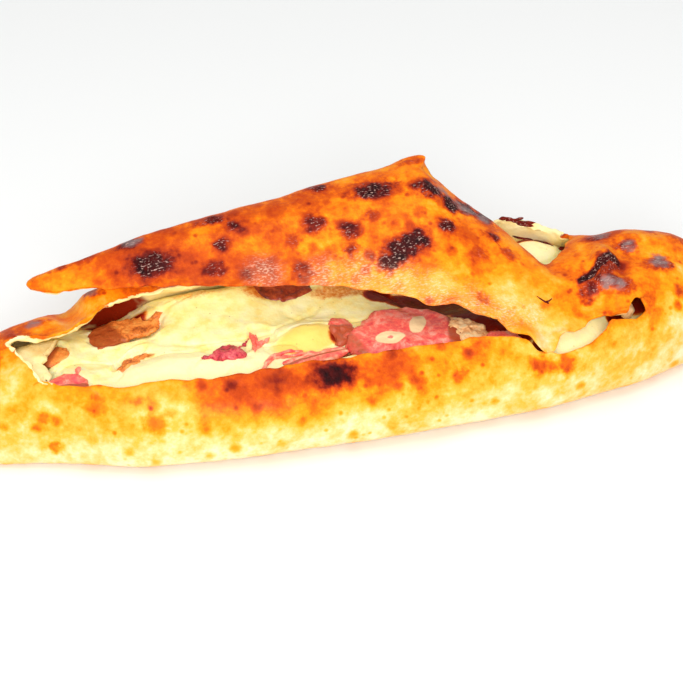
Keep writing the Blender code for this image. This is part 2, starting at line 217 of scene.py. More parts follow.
# %% Places on the crust, in mm
# centre x, y, z; half length along x; half width across; how burnt from 0 to 1
BURNT = (
    (-82, 18, 63, 9.5, 6.4, 1), (18, 30.5, 78, 10.5, 5.2, 1), (16.5, -1.2, 61, 6, 5.2, 0.95),
    (22, 1.6, 63.2, 7, 5.8, 1), (28.5, 4, 66, 7.5, 5.2, 1),
    (-11, 19.5, 72, 4.8, 4.8, 0.84), (3, 14, 69.5, 5, 4.2, 0.84),
    (-44.5, 25, 72.3, 4, 3.6, 0.90), (-56.6, 9.5, 61.6, 4.4, 4.4, 0.80),
    (-51.7, 17.7, 68.3, 3.8, 3.8, 0.85), (1, 6.6, 64.7, 3.6, 3.4, 0.70),
    (-21, 2, 60.5, 3.6, 3.6, 0.70), (-22.4, 13.6, 68.2, 3, 3, 0.62),
    (13.6, 18.4, 72.7, 3.2, 2.6, 0.60), (34.5, 15.1, 73, 2.8, 2.4, 0.52),
    (45, 8.6, 68.7, 4.2, 4, 0.90), (56, -3.7, 59.3, 3.8, 3.4, 0.58),
    (70, -2.6, 56.9, 3.6, 3.4, 0.62), (65, 6, 61.2, 3.8, 3, 0.86),
    (51.4, -22, 48.9, 3.4, 3.4, 0.50), (-54, 31.7, 72.7, 7.5, 3, 0.85),
    (-89, 30.2, 67, 5.5, 2.6, 0.90), (-109, 29.3, 62.7, 3.6, 2, 0.62),
    (-118.8, 30, 60.3, 3.4, 2, 0.60), (-5, 39, 77.5, 5, 3, 0.85),
    (42, 27.5, 77, 7.5, 5, 1), (40, 45.5, 80.3, 6, 1.6, 0.62), (50, 21.5, 71, 6, 5.5, 1),
    (58, 24, 66, 6, 5.5, 1), (65, 21, 61.5, 6, 4.5, 0.95),
    (-17.6, -41.2, 35.7, 8.8, 6, 1), (-38.5, -39, 37, 3.8, 2.8, 0.46),
    (-60.4, -40, 35.6, 3, 2.5, 0.48), (-99, -38, 35.4, 3.8, 2.4, 0.36),
    (-115.7, -35, 33.4, 5, 3.8, 0.36), (-135.6, -28.5, 26.7, 4.2, 3.2, 0.32),
    (-93, -43.8, 26.8, 6.5, 5.4, 0.34), (-132, -31, 12.6, 2.8, 2.8, 0.30),
    (16, -47.8, 30, 3.8, 3.8, 0.50), (34.4, -47, 30.4, 3.4, 3.2, 0.50),
    (42.6, -39.8, 37, 4, 2.8, 0.42), (70, -46.3, 28.2, 4.2, 4.2, 0.52),
    (82, -46.3, 26.8, 4.8, 5, 0.50), (136.4, -13, 48.3, 9, 4.6, 0.70),
    (115.7, 10.3, 49.8, 6, 3.4, 0.74), (126, -0.7, 49.6, 6.5, 3.6, 0.80),
    (148.6, 2.5, 46.2, 4.6, 3.4, 0.66), (141, -25.6, 39.8, 3.4, 3.4, 0.60),
    (125.5, -28.7, 42.3, 3.4, 3.6, 0.42), (108.5, -21.5, 48.5, 5, 2.5, 0.70),
    (-95.5, 24.7, 47.2, 7, 4, 0.90), (-105, 22.5, 47.5, 6, 4, 0.86),
    (-131, 13, 47.3, 7, 3, 0.66), (-121, 17, 47.6, 5, 3, 0.55),
    (-143, 8, 46, 5, 3.4, 0.62), (104, 27, 46, 5, 3, 0.78),
    # the back and the far tip, which the oven burnt in the same way
    (-20, 48, 35, 8, 5, 0.90), (22, 51, 37, 5, 4, 0.80), (48, 52, 32, 4, 4, 0.62),
    (-52, 46, 30, 5, 4, 0.60), (-78, 44, 36, 6, 4, 0.84), (76, 48, 40, 5, 4, 0.70),
    (120, 30, 36, 7, 5, 0.90), (150, 18, 34, 5, 4, 0.70), (166, -2, 34, 6, 4, 0.86),
    (100, 44, 28, 4, 4, 0.50), (-110, 38, 26, 5, 4, 0.56), (-150, -8, 38, 5, 3.4, 0.50),
)
# centre x, y, z; reach; change in browning, where the paler places on the flap's front are painted
# glare
BROWNING_AND_GLARE = (
    (-66, -43, 32, 17, 0.38), (-47, -42, 32, 18, 0.38), (-28, -42, 33, 17, 0.33),
    (-8, -44, 32, 18, 0.22), (8, -43, 35, 15, 0.22), (30, -43, 35, 17, 0.18),
    (52, -43, 34, 16, 0.08), (-112, -36, 33, 14, 0.06), (-140, -22, 34, 16, 0.02),
    (-146, -14, 42, 17, -0.34), (-126, 10, 46, 14, -0.11), (-105, 22, 50, 12, -0.05),
    (35, -42, 36, 14, -0.10), (113, -28, 44, 10, -0.06),
    (-80, 18, 63, 27, 0.22), (-98, 22, 60, 20, 0.25), (-57, 10, 62, 22, 0.20),
    (-36, 5, 61, 18, 0.20), (-30, 28, 75, 26, 0.10), (-14, 4, 62, 16, 0.08),
    # painted highlight: the flap's front and right are made paler where the lamp's glare lies
    (-8, -4, 59, 11, -0.12), (16, -9, 57, 15, -0.19), (38, -15, 53, 17, -0.17),
    (62, -26, 47, 24, -0.17), (82, -30, 42, 16, -0.18), (73, -39, 34, 11, -0.24),
    (-118, 26, 58, 13, 0.06), (112, -14, 50, 14, 0.05), (130, -4, 49, 24, -0.02),
    (128, 12, 44, 18, 0.04), (150, -22, 34, 28, -0.10), (95, 6, 47, 14, 0.02),
    (110, -30, 44, 14, -0.08), (36, 10, 70, 22, -0.06), (150, -14, 44, 18, -0.06),
    (118, -14, 50, 7, 0.24), (-106, 24, 50, 30, -0.17),
    (46, 20, 73, 18, 0.02), (60, -3, 58, 18, 0.02),
)
# the burnt fold beside the flap's hinge: from x, y, height to x, y, height; how burnt; its reach
FOLDS = ((99.5, -21, 0.2, 105.8, -19, 3.6, 0.80), (105.8, -19, 3.6, 115.5, -24.5, 0.3, 0.70),
         (105.8, -19, 3.6, 113.5, -13, 1.4, 0.70))
FOLD_REACH = 5.0
PITS = ((104, -13.5, 5.5, 1.8), (117, -15, 6.0, 2.2))       # centre x, y; reach; depth
# a painted shadow: the black line beside the fold stands for the shade of its hollow
SCORCH_AND_SHADOW = (97.5, -17.0, 113.5, -10.5, 3.4)                   # a black line beside it, and its width
# places where the dough sags, swells or hangs over: centre x, y, z; reach along x and across;
# shift in x, y, z; how far from the torn edge it fades (negative: grows away from the edge)
SAGS = (
    (-127, 14, 46, 24, 16, 0, -6.5, -3.0, 12), (-98, 28, 46, 27, 17, 0, 0, 5.0, -6),
    (-119, 22, 48, 9, 14, 0, 0, -3.8, -6), (46, -29, 46.5, 22, 13, 0, 3.0, 3.4, 16),
    (-113, -28, 38, 32, 11, 0, -1.2, -3.2, 12), (140, 8, 46, 30, 20, 0, 0, 4.0, 0),
    (102, -41.5, 34, 9, 5.5, 0, 0.6, 2.4, 5), (124.5, -31.5, 41, 5.5, 6, -2.2, 0, 0, 0),
    (175, 0, 42, 20, 20, 0, 0, 3.5, 0), (95, 31, 47, 13, 10, 0, 0, 1.8, -3),
    (75, -42, 36, 10, 5.5, 0.5, -3.0, -3.0, 10), (108, -37.5, 37, 11, 6, 0, 0.4, 2.0, 7),
    (108, -31, 41, 11, 6, 0, -1, -1.6, 7), (90, -33, 37, 13, 5, 0, -1.2, -1.6, 7),
)
# the flap's free corner and its peak, both drawn out to a point, and the bare waist beside the
# peak: centre x, y, z; reach; shift in x and z
DRAWN_OUT = ((-130, 26, 57, 8, -3.5, 0), (43.8, 46.5, 79.9, 5, 2.2, 1.3), (48.5, 43, 76, 8.5, -3.4, 0))


def along_line(p, x0, y0, x1, y1):
    """How far along a line a point is, as a share, and how far beside it, seen from above."""
    dx, dy = x1 - x0, y1 - y0
    t = max(0.0, min(1.0, ((p.x - x0) * dx + (p.y - y0) * dy) / (dx * dx + dy * dy)))
    return t, math.hypot(p.x - x0 - t * dx, p.y - y0 - t * dy)


def fold_at(p):
    """Nearness to the burnt fold's crests, its height there, and how burnt it is."""
    near, height, how = 0.0, 0.0, 0.0
    for x0, y0, h0, x1, y1, h1, burnt in FOLDS:
        t, beside = along_line(p, x0, y0, x1, y1)
        if 1 - beside / FOLD_REACH > near:
            near, height, how = 1 - beside / FOLD_REACH, h0 + (h1 - h0) * t, burnt
    return near, height, how


def around_fold(p):
    """Whether a point is on the right top, where the fold is."""
    return p.z > 40 and 90 < p.x < 128


def browning(p):
    """How far the dough has browned, from 0 for cream to 1 for black, less where glare is painted."""
    level = 0.08 + 0.19 * ease(p.z, 4, 30) + 0.20 * ease(p.z, 28, 44) + 0.03 * ease(p.z, 50, 76)
    for x, y, z, reach, change in BROWNING_AND_GLARE:
        level += change * hill((p - Vector((x, y, z))).length / reach)
    return level + 0.05 * rough(p, 26, 3) + 0.04 * rough(p, 11, 4)


def burn(p):
    """Nearness to the closest burnt place (1 at its middle, 0 outside) and its strength."""
    best, strength = -1.0, 0.0
    p = p + Vector((1.7 * rough(p, 6, 13), 1.4 * rough(p, 6, 14), 1.4 * rough(p, 6, 15)))
    p += Vector((0.6 * rough(p, 2.4, 16), 0.6 * rough(p, 2.4, 17), 0))
    for x, y, z, along, across, how in BURNT:
        dx = (p.x - x) / along
        if abs(dx) < 1.7:
            near = 1 - math.hypot(dx, math.hypot(p.y - y, p.z - z) / across)
            if near > best:
                best, strength = near, how
    if around_fold(p):
        near, height, how = fold_at(p)
        if near - 0.3 > best:
            best, strength = near - 0.3, how
        # the black line beside the fold: painted shadow of its hollow, drawn as burnt
        *line, width = SCORCH_AND_SHADOW
        t, beside = along_line(p, *line)
        near = 1.2 - beside / (width * (0.5 + 0.5 * t))
        if near > best:
            best, strength = near, 1.0
    return max(0.0, 0.5 + 0.5 * best), strength


print(len(BURNT), "burnt places,", len(BROWNING_AND_GLARE), "browned ones")

# %% [markdown]
# ## The crust: torn edges and blisters
# Torn dough shows its cream inside along a ragged lip two or three millimetres wide. To know
# where that lip is, the outer skin is found by walking over the solid's faces from its base
# and stopping at every sharp edge, and the distance to the lip is then measured from each
# vertex. The lip is cut finer than the rest, so that its raggedness has vertices to use.

# %% Find the outer skin of the solid crust
def walk(bm, start, bend=math.radians(58)):
    """All faces reached from one face without crossing a sharp edge."""
    seen, todo = {start}, [start]
    while todo:
        for edge in todo.pop().edges:
            if len(edge.link_faces) == 2 and edge.calc_face_angle(0.0) < bend:
                for face in edge.link_faces:
                    if face not in seen:
                        seen.add(face)
                        todo.append(face)
    return seen


bm = copy_of("crust")
bm.normal_update()
base = min(bm.faces, key=lambda f: f.calc_center_median().z + 0.1 * abs(f.calc_center_median().x))
outer = walk(bm, base)
layer = bm.verts.layers.float.new("outside")
for face in outer:
    for v in face.verts:
        v[layer] = 1.0
crease = bm.edges.layers.float.new("crease_edge")
lips = [e for e in bm.edges if len({f in outer for f in e.link_faces}) == 2]
for edge in lips:
    edge[crease] = 0.9
print("outer faces:", len(outer), "of", len(bm.faces), "| lip edges:", len(lips))

# %% Smooth it and cut the lip finer
LIP = 3.2          # mm on either side of the torn edge
bm = smoothed(bm, 2)
layer = bm.verts.layers.float["outside"]


def lip_tree(bm):
    """A search tree of the points along the torn edges."""
    layer = bm.verts.layers.float["outside"]
    torn = [v.co / MM for v in bm.verts if 0.05 < v[layer] < 0.95]
    tree = KDTree(len(torn))
    for i, p in enumerate(torn):
        tree.insert(p, i)
    tree.balance()
    return tree


torn_edges = lip_tree(bm)
near = [e for e in bm.edges if e.calc_length() > 0.9 * MM
        and (torn_edges.find((e.verts[0].co + e.verts[1].co) / 2 / MM)[2] < LIP
             or (e.verts[0].co.z > 40 * MM and fold_at(e.verts[0].co / MM)[0] > 0))]
bmesh.ops.subdivide_edges(bm, edges=near, cuts=1, use_grid_fill=True)
print("crust faces after cutting:", len(bm.faces))


def bare_lip(p):
    """1 where a torn lip shows its cream crumb, 0 where browned skin runs to the edge."""
    back = ease(p.y, 10, 16) * (1 - ease(p.z, 52, 55)) if p.x < 60 else ease(p.y, 22, 27)
    left = 1 - ease(p.x - 0.5 * p.y, -126, -112)
    return max(back, left if p.z < 52 else 0.0)


def lip_width(p):
    """How far the crumb is laid bare beside the torn edge, in mm."""
    return 2.2 + 5.0 * hill(math.hypot((p.x - 92) / 22, (p.y - 32) / 16))


# %% Press in blisters, dimples and ragged lips
def crust_relief(p, n):
    """Shift of the crust at a point: unevenness, blisters, the fold, sags and ragged lips."""
    out = 0.40 * rough(p, 13, 1) + 0.22 * rough(p, 5.5, 2) + 0.10 * rough(p, 2.6, 5)
    raised = 0.0
    if around_fold(p):
        near, height, how = fold_at(p)
        raised = height * near
        for x, y, reach, depth in PITS:
            raised -= depth * hill(math.hypot(p.x - x, p.y - y) / reach)
    near, strength = burn(p)
    if strength > 0.55:
        blister = ease(near, 0.45, 0.85)
        out += (0.45 + 0.55 * rough(p, 3.2, 6)) * blister * strength
    shift = n * out + Vector((0, 0, raised))
    d = torn_edges.find(p)[2]
    # smoothing draws the front rim down by about a millimetre and a half: give it back
    if p.y < -22 and p.z < 42:
        shift.z += 1.5 * (1 - ease(d, 1.0, 7.0))
    for x, y, z, along, across, sx, sy, sz, fade in SAGS:
        r = math.hypot((p.x - x) / along, math.hypot(p.y - y, p.z - z) / across)
        if r < 1:
            share = 1 - ease(r, 0.35, 1)
            if fade:
                share *= 1 - ease(d, 0, fade) if fade > 0 else ease(d, 0.5, -fade)
            shift += share * (1 - ease(p.z, 51, 54)) * Vector((sx, sy, sz))
    for x, y, z, reach, sx, sz in DRAWN_OUT:
        shift += hill((p - Vector((x, y, z))).length / reach) * Vector((sx, 0, sz))
    if d < 4.0:
        fray = 1 - ease(d, 0.6, 4.0)
        torn = bare_lip(p)
        shift += 1.2 * fray * Vector((rough(p, 6.5, 7), rough(p, 6.5, 8), 0.7 * rough(p, 6.5, 9)))
        shift += (0.3 + 0.9 * torn) * fray * Vector((rough(p, 2.6, 10), rough(p, 2.6, 11),
                                                     0.8 * rough(p, 2.6, 12)))
    # the base stays flat on the table
    if p.z < 1.5:
        shift.z = max(shift.z, -p.z)
    return shift


press(bm, crust_relief)
layer = bm.verts.layers.float["outside"]


def torn(p, v):
    """Cream crumb: the whole inner wall, and the lips where they are bare."""
    lip = bare_lip(p)
    inner = 1 - ease(v[layer], 0.0, 0.25 + 0.6 * lip)
    width = lip_width(p)
    return max(inner, lip * (1 - ease(torn_edges.find(p)[2], 0.3 * width, width)))


def shade_and_juice(p, v):
    """Painted shade, in dark meat-juice colours, inside the crust: under the flap, in the pockets, in
    the hole.
    """
    under_flap = hill(math.hypot((p.x - 45) / 60, (p.y + 2) / 34))
    pocket = math.hypot((p.x + 100) / 22, (p.z - 33) / 14) + 0.25 * rough(p, 5, 18)
    pocket = hill(pocket) if p.y > 10 else 0.0
    middle = hill(math.hypot((p.x + 25) / 20, (p.y - 12) / 12))
    hole = hill((p - Vector((121, -24, 36))).length / 15)
    return (1 - ease(v[layer], 0.1, 0.6)) * max(under_flap, pocket, middle, hole)


# centre x, y, z; reach of the painted glare, and of the grey skin: partly ash, partly painted sheen
GLARE_PLACES = ((-37, 3, 61, 12), (-12, -3, 59, 14), (4, -5, 58, 15), (18, -10, 55, 15), (32, -17, 53, 14),
         (46, -25, 50, 14), (60, -28, 46, 13), (72, -30, 44, 10))
ASH_AND_SHEEN_PLACES = ((108.5, -22, 48.5, 7), (113, -23.5, 47.5, 6), (136, -12, 49, 9), (126, 0, 50, 7.5),
       (118, 11, 50, 8), (140, 14, 49, 10), (50, 30, 73, 7), (57, 23, 67, 9), (65, 19, 62.5, 8),
       (-121, 17, 48, 8), (-134, 12, 47, 8),
       (-108, 23, 50, 7), (-70, 38, 74, 9), (-88, 32, 68, 9), (-40, 40, 77, 8))


def near_one_of(places):
    """What paint() needs to store how near a point is to the closest of some places."""
    return lambda p, v: max(hill((p - Vector((x, y, z))).length / reach) for x, y, z, reach in places)


# grey skin on the fold and the ridges: partly ash, partly painted sheen
paint(bm, "ash_and_highlight", near_one_of(ASH_AND_SHEEN_PLACES))
# painted highlight: the lamp's glare on the flap's front, in streaks
paint(bm, "painted_glare", near_one_of(GLARE_PLACES))
paint(bm, "torn", torn)
# painted shade inside the crust, in the colours of dark meat juice
paint(bm, "shade_and_juice", shade_and_juice)
paint(bm, "brown", lambda p, v: browning(p))
paint(bm, "char", lambda p, v: burn(p)[0])
paint(bm, "burn", lambda p, v: burn(p)[1])
print("crust vertices:", len(bm.verts))

# %% [markdown]
# ## Baked, buttered dough
# The crust is bread: starch browned in dry heat, then brushed with butter. The eye sees one
# colour scale from cream through yellow and orange to brown and black, a satin gloss, tiny
# pale flecks on the burnt blisters, partly ash and partly painted glints, and matt cream
# crumb where it was torn. A single ramp driven by "how far baked" keeps all of these in
# step. Over it lie a painted glare on the flap's front, a grey painted sheen on the ridges
# and the fold, and painted shade inside the crust in the colours of meat juice.

# %% Material: baked dough
def baked_dough():
    finish, tree, place = new_finish("baked_buttered_dough")
    # three attributes carry painted shade inside the crust, painted glare and painted sheen
    brown, char, burnt, torn, shade_and_juice, painted_glare, ashy_sheen = (
        add(tree, "Attribute", out="Fac", attribute_name=n)
        for n in ("brown", "char", "burn", "torn", "shade_and_juice", "painted_glare", "ash_and_highlight"))
    drift, cloud, fleck, grain = (
        add(tree, "TexNoise", {"Vector": place, "Scale": features(mm), "Detail": detail,
                               "Roughness": roughness})
        for mm, detail, roughness in ((26, 3.0, 0.5), (9, 4.0, 0.6), (3.4, 2.0, 0.5), (1.6, 4.0, 0.65)))
    # soft leopard spots between the named ones, about 10 mm apart
    cells = add(tree, "TexVoronoi", {"Vector": place, "Scale": features(10), "Randomness": 1.0})
    spot = add(tree, "MapRange", {"Value": cells, "From Min": 0.38, "From Max": 0.08},
               interpolation_type="SMOOTHSTEP")
    pick = add(tree, "SeparateColor", {"Color": cells.node.outputs["Color"]})
    spot = add(tree, "Math", {0: spot, 1: pick}, operation="MULTIPLY")
    # and small specks, about 5 mm apart, on half of the cells
    specks = add(tree, "TexVoronoi", {"Vector": place, "Scale": features(5), "Randomness": 1.0})
    speck = add(tree, "MapRange", {"Value": specks, "From Min": 0.30, "From Max": 0.06},
                interpolation_type="SMOOTHSTEP")
    chosen = add(tree, "SeparateColor", {"Color": specks.node.outputs["Color"]}, out=1)
    chosen = add(tree, "MapRange", {"Value": chosen, "From Min": 0.45, "From Max": 0.95})
    speck = add(tree, "Math", {0: speck, 1: chosen}, operation="MULTIPLY")
    level = add(tree, "Math", {0: cloud, 1: 0.68, 2: -0.69}, operation="MULTIPLY_ADD")
    for pattern, share in ((drift, 0.36), (brown, 1.0), (spot, 0.34), (speck, 0.24), (fleck, 0.20),
                           (grain, 0.20)):
        level = add(tree, "Math", {0: pattern, 1: share, 2: level}, operation="MULTIPLY_ADD")
    # burnt places: a reddened halo, then a ragged edge
    ragged = add(tree, "Math", {0: grain, 1: 0.10, 2: -0.40}, operation="MULTIPLY_ADD")
    for pattern, share in ((fleck, 0.50), (drift, 0.20), (char, 1.0)):
        ragged = add(tree, "Math", {0: pattern, 1: share, 2: ragged}, operation="MULTIPLY_ADD")
    halo = add(tree, "MapRange", {"Value": ragged, "From Min": 0.20, "From Max": 0.55,
                                  "To Max": 0.18}, interpolation_type="SMOOTHSTEP")
    level = add(tree, "Math", {0: halo, 1: burnt, 2: level}, operation="MULTIPLY_ADD")
    # outside the burnt places it reddens slowly and never blackens
    slow = add(tree, "Math", {0: level, 1: 0.45, 2: 0.35}, operation="MULTIPLY_ADD")
    level = add(tree, "Math", {0: level, 1: slow}, operation="MINIMUM")
    core = add(tree, "MapRange", {"Value": ragged, "From Min": 0.42, "From Max": 0.80},
               interpolation_type="SMOOTHSTEP")
    deep = add(tree, "Math", {0: burnt, 1: 0.62, 2: 0.20}, operation="MULTIPLY_ADD")
    deep = add(tree, "Math", {0: fleck, 1: 0.26, 2: deep}, operation="MULTIPLY_ADD")
    deep = add(tree, "Math", {0: deep, 1: level}, operation="MAXIMUM")
    level = add(tree, "Mix", {0: core, 2: level, 3: deep})
    skin = add(tree, "ValToRGB", {"Fac": level}, stops=(
        (0.00, "F8DCB2"), (0.14, "F8CA84"), (0.28, "F8B040"), (0.42, "F69410"),
        (0.56, "E86C08"), (0.68, "BE420C"), (0.79, "801E0C"), (0.89, "4A0A08"),
        (1.00, "1E0406")))
    # painted glare lies in streaks along the loaf, as the dough was stretched, and so do the pale
    # flecks; the streaks are coarser than the finest real ones, which would not show
    drawn = add(tree, "Mapping", {"Vector": place, "Scale": (0.45, 1.0, 1.0)})
    streak = add(tree, "TexNoise", {"Vector": drawn, "Scale": features(2.0), "Detail": 3.0})
    fine_noise = add(tree, "TexNoise", {"Vector": drawn, "Scale": features(0.65), "Detail": 2.0})
    glare_streaks = add(tree, "MapRange", {"Value": fine_noise, "From Min": 0.50, "From Max": 0.66})
    glare_streaks = add(tree, "Math", {0: glare_streaks, 1: 0.48, 2: 0.08}, operation="MULTIPLY_ADD")
    clean = add(tree, "MapRange", {"Value": core, "To Min": 1.0, "To Max": 0.35})
    for share in (painted_glare, clean):
        glare_streaks = add(tree, "Math", {0: glare_streaks, 1: share}, operation="MULTIPLY")
    # grey skin on the fold, the blisters of the far end and the flap's ridges: ash and painted sheen
    grey_sheen = add(tree, "Math", {0: streak, 1: ashy_sheen}, operation="MULTIPLY")
    grey_sheen = add(tree, "MapRange", {"Value": grey_sheen, "From Min": 0.20, "From Max": 0.48,
                                  "To Max": 0.85})
    # pale flecks on the burnt blisters, ash and painted glints, only high: 38 to 48 mm above the table
    ash_and_highlight = add(tree, "MapRange", {"Value": fine_noise, "From Min": 0.58, "From Max": 0.69,
                                 "To Max": 0.58})
    hottest = add(tree, "MapRange", {"Value": burnt, "From Min": 0.50, "From Max": 0.85})
    high = add(tree, "SeparateXYZ", {"Vector": place}, out="Z")
    high = add(tree, "MapRange", {"Value": high, "From Min": 38 * MM, "From Max": 48 * MM})
    for share in (core, hottest, high):
        ash_and_highlight = add(tree, "Math", {0: ash_and_highlight, 1: share}, operation="MULTIPLY")
    # painted glare, grey skin with painted sheen, and pale flecks with painted glints
    for share, tone in ((glare_streaks, "FADCBC"), (grey_sheen, "8A7472"), (ash_and_highlight, "ECC0B0")):
        skin = add(tree, "Mix", {0: share, 6: skin, 7: linear(tone)}, data_type="RGBA", out=2)
    # cream crumb on the torn lips and the inner wall, toasted where the noise is high
    crumb = add(tree, "ValToRGB", {"Fac": cloud}, stops=(
        (0.30, "FFF2BE"), (0.55, "FFE6A0"), (0.75, "F8C468")))
    lip = add(tree, "Math", {0: grain, 1: 0.5, 2: -0.25}, operation="MULTIPLY_ADD")
    lip = add(tree, "Math", {0: lip, 1: torn}, operation="ADD")
    lip = add(tree, "MapRange", {"Value": lip, "From Min": 0.40, "From Max": 0.62},
              interpolation_type="SMOOTHSTEP")
    colour = add(tree, "Mix", {0: lip, 6: skin, 7: crumb}, data_type="RGBA", out=2)
    # painted shade inside the crust under the flap and in the pockets, in dark meat-juice colour
    wet_and_shade = add(tree, "MapRange", {"Value": shade_and_juice, "From Min": 0.05, "From Max": 0.45},
              interpolation_type="SMOOTHSTEP")
    colour = add(tree, "Mix", {0: wet_and_shade, 6: colour, 7: linear("8E2006")}, data_type="RGBA", out=2)
    # gloss: butter on the skin, dry crumb on the lip; relief from flour grain and pores
    gloss = add(tree, "MapRange", {"Value": lip, "To Min": 0.42, "To Max": 0.72})
    height = add(tree, "Math", {0: cloud, 1: 1.6, 2: grain}, operation="MULTIPLY_ADD")
    blister = add(tree, "TexNoise", {"Vector": place, "Scale": features(1.1), "Detail": 3.0})
    blister = add(tree, "Math", {0: blister, 1: core}, operation="MULTIPLY")
    height = add(tree, "Math", {0: blister, 1: 1.4, 2: height}, operation="MULTIPLY_ADD")
    rise = add(tree, "Bump", {"Strength": 0.6, "Distance": 0.6 * MM, "Height": height})
    surface = add(tree, "BsdfPrincipled", {
        "Base Color": colour, "Roughness": gloss, "IOR": 1.40, "Normal": rise,
        "Specular IOR Level": 0.09, "Coat Weight": 0.05, "Coat Roughness": 0.15})
    add(tree, "OutputMaterial", {"Surface": surface})
    return finish


dough = baked_dough()
finished("crust_baked", bm, dough, "crust", "crust")

# %% [markdown]
# ## The filling: melted cheese
# Fresh white cheese melts into lumps that keep soft borders, and its fat pools between them.
# The solid has the big lumps; the borders, pores and creases between them are pressed in
# here. Places where the cheese is yellower or whiter are again a short list, and so are its
# dark places: partly stains of meat juice, partly painted shade under the flap's edge, in
# the torn pockets, in the hole and along the back tear.

# %% Lumps, stains and creases of the cheese
# centre x, y; reach along x, y; turn in degrees; what the place is
LUMPS = (
    (-82, -20, 31, 12, 2, "white"), (-50, -22, 24, 10, 6, "white"), (-23, -13, 17, 8.5, 12, "yellow"),
    (-48, 13, 38, 16, 6, "cream"), (-2, 10, 26, 12, -4, "cream"), (95, -31, 20, 11, 26, "white"),
    (-113, -12, 12, 8, -20, "cream"), (86, 26, 20, 12, 0, "white"),
)
# centre x, y; reach along x, y; how dark: painted shade under the flap and in hollows, partly juice
SHADE_AND_STAIN_PLACES = (
    (-103, 28, 11, 8, 1), (-94, 25, 12, 7, 0.8), (-131, 7, 4, 7, 0.5),
    (16, 14.5, 9, 6, 1), (26, 11, 10, 6.5, 1), (35, 4, 10, 8, 1), (42, -2, 10, 8, 1),
    (49, -9, 9, 9, 1), (56, -17, 9, 10, 1), (64, -25, 9, 9, 1), (75, -22, 14, 14, 1),
    (73.5, -38, 6, 7, 1),
    (36, 12, 14, 8, 1), (47, 6, 14, 9, 1), (57, -4, 12, 10, 1), (66, -14, 12, 10, 1),
    (-92, -6, 8, 3, 0.35), (-30, 24, 20, 8, 0.35), (-60, 27, 22, 6, 0.22), (0, 18, 22, 7, 0.30),
    (-57, -13, 8, 4, 0.3), (-8, -13, 7, 7, 0.7), (122, -18, 14, 10, 1), (112, -26, 6, 6, 0.9),
    # the first place here is a painted shadow line where the back wall meets the cheese
    (93, 31, 14, 3, 0.7), (58, -30, 26, 5, 0.7), (-4, -25, 14, 2.5, 0.5),
)
# hollows torn in the cheese, where meat shows: centre x, y; reach along x, y; turn; depth
HOLLOWS = ((-95.5, 15.5, 17.0, 8.5, 12, 2.6), (-127, 6, 6.0, 8.5, 12, 1.8),
           (-97, -5.5, 10.0, 3.2, 40, 1.4), (-57, -11, 10.5, 5.5, -10, 1.0),
           (-40, -3.5, 5.5, 7.5, 20, 0.8), (-12, -24.5, 21, 2.6, 8, 1.2))


def lump_at(p, x, y, along, across, turn):
    """Distance from a lump's middle as a share of its reach."""
    a = math.radians(turn)
    dx, dy = p.x - x, p.y - y
    u, v = dx * math.cos(a) + dy * math.sin(a), dy * math.cos(a) - dx * math.sin(a)
    return math.hypot(u / along, v / across) + 0.10 * rough(p, 7, 31)


def cheese_relief(p, n):
    """Shift of the cheese at a point: lumps, the creases round them, and torn hollows."""
    out = 0.55 * rough(p, 9, 21) + 0.30 * rough(p, 4.2, 22) + 0.12 * rough(p, 2.0, 23)
    for x, y, along, across, turn, kind in LUMPS:
        r = lump_at(p, x, y, along, across, turn)
        out += 0.9 * hill(r) - 0.75 * hill(abs(r - 1.02) / 0.10)
    for x, y, along, across, turn, depth in HOLLOWS:
        r = lump_at(p, x, y, along, across, turn) + 0.10 * rough(p, 3, 32)
        out += 0.5 * hill(abs(r - 1.18) / 0.3) - depth * (1 - ease(r, 0.86, 1.08))
    # swell against the dough all round, so that no slit shows between them
    out += 1.1 * (1 - ease(n.z, 0.2, 0.85)) if p.z > 22 else 0.0
    out += 4.5 * ease(-p.x, 113, 127) * (1 - ease(p.y, 8, 20)) if p.z > 18 else 0.0
    return n * out


def shade_and_stain(p, v):
    """How dark the cheese is at a point: painted shade, partly meat juice."""
    return max(how * (1 - ease(math.hypot((p.x - x) / a, (p.y - y) / b), 0.4, 1))
               for x, y, a, b, how in SHADE_AND_STAIN_PLACES)


def lumps_of(kind):
    """What paint() needs to store how far a point is inside the lumps of one kind."""
    def share(p, v):
        inside = [1 - ease(lump_at(p, *lump[:5]), 0.75, 1.05) for lump in LUMPS if lump[5] == kind]
        return max(inside)
    return share


bm = smoothed(copy_of("cheese"), 1)
top = [e for e in bm.edges if all(v.normal.z > 0.3 for v in e.verts) and e.verts[0].co.z > 20 * MM]
bmesh.ops.subdivide_edges(bm, edges=top, cuts=3, use_grid_fill=True)
bmesh.ops.smooth_vert(bm, verts=bm.verts, factor=0.5, use_axis_x=True, use_axis_y=True, use_axis_z=True)
press(bm, cheese_relief)
# painted shade under the flap's edge and in the hollows, partly meat juice
paint(bm, "shade_and_stain", shade_and_stain)
paint(bm, "white", lumps_of("white"))
paint(bm, "yellow", lumps_of("yellow"))
bmesh.ops.triangulate(bm, faces=bm.faces)
cheese_surface = BVHTree.FromBMesh(bm)
print("cheese vertices:", len(bm.verts))
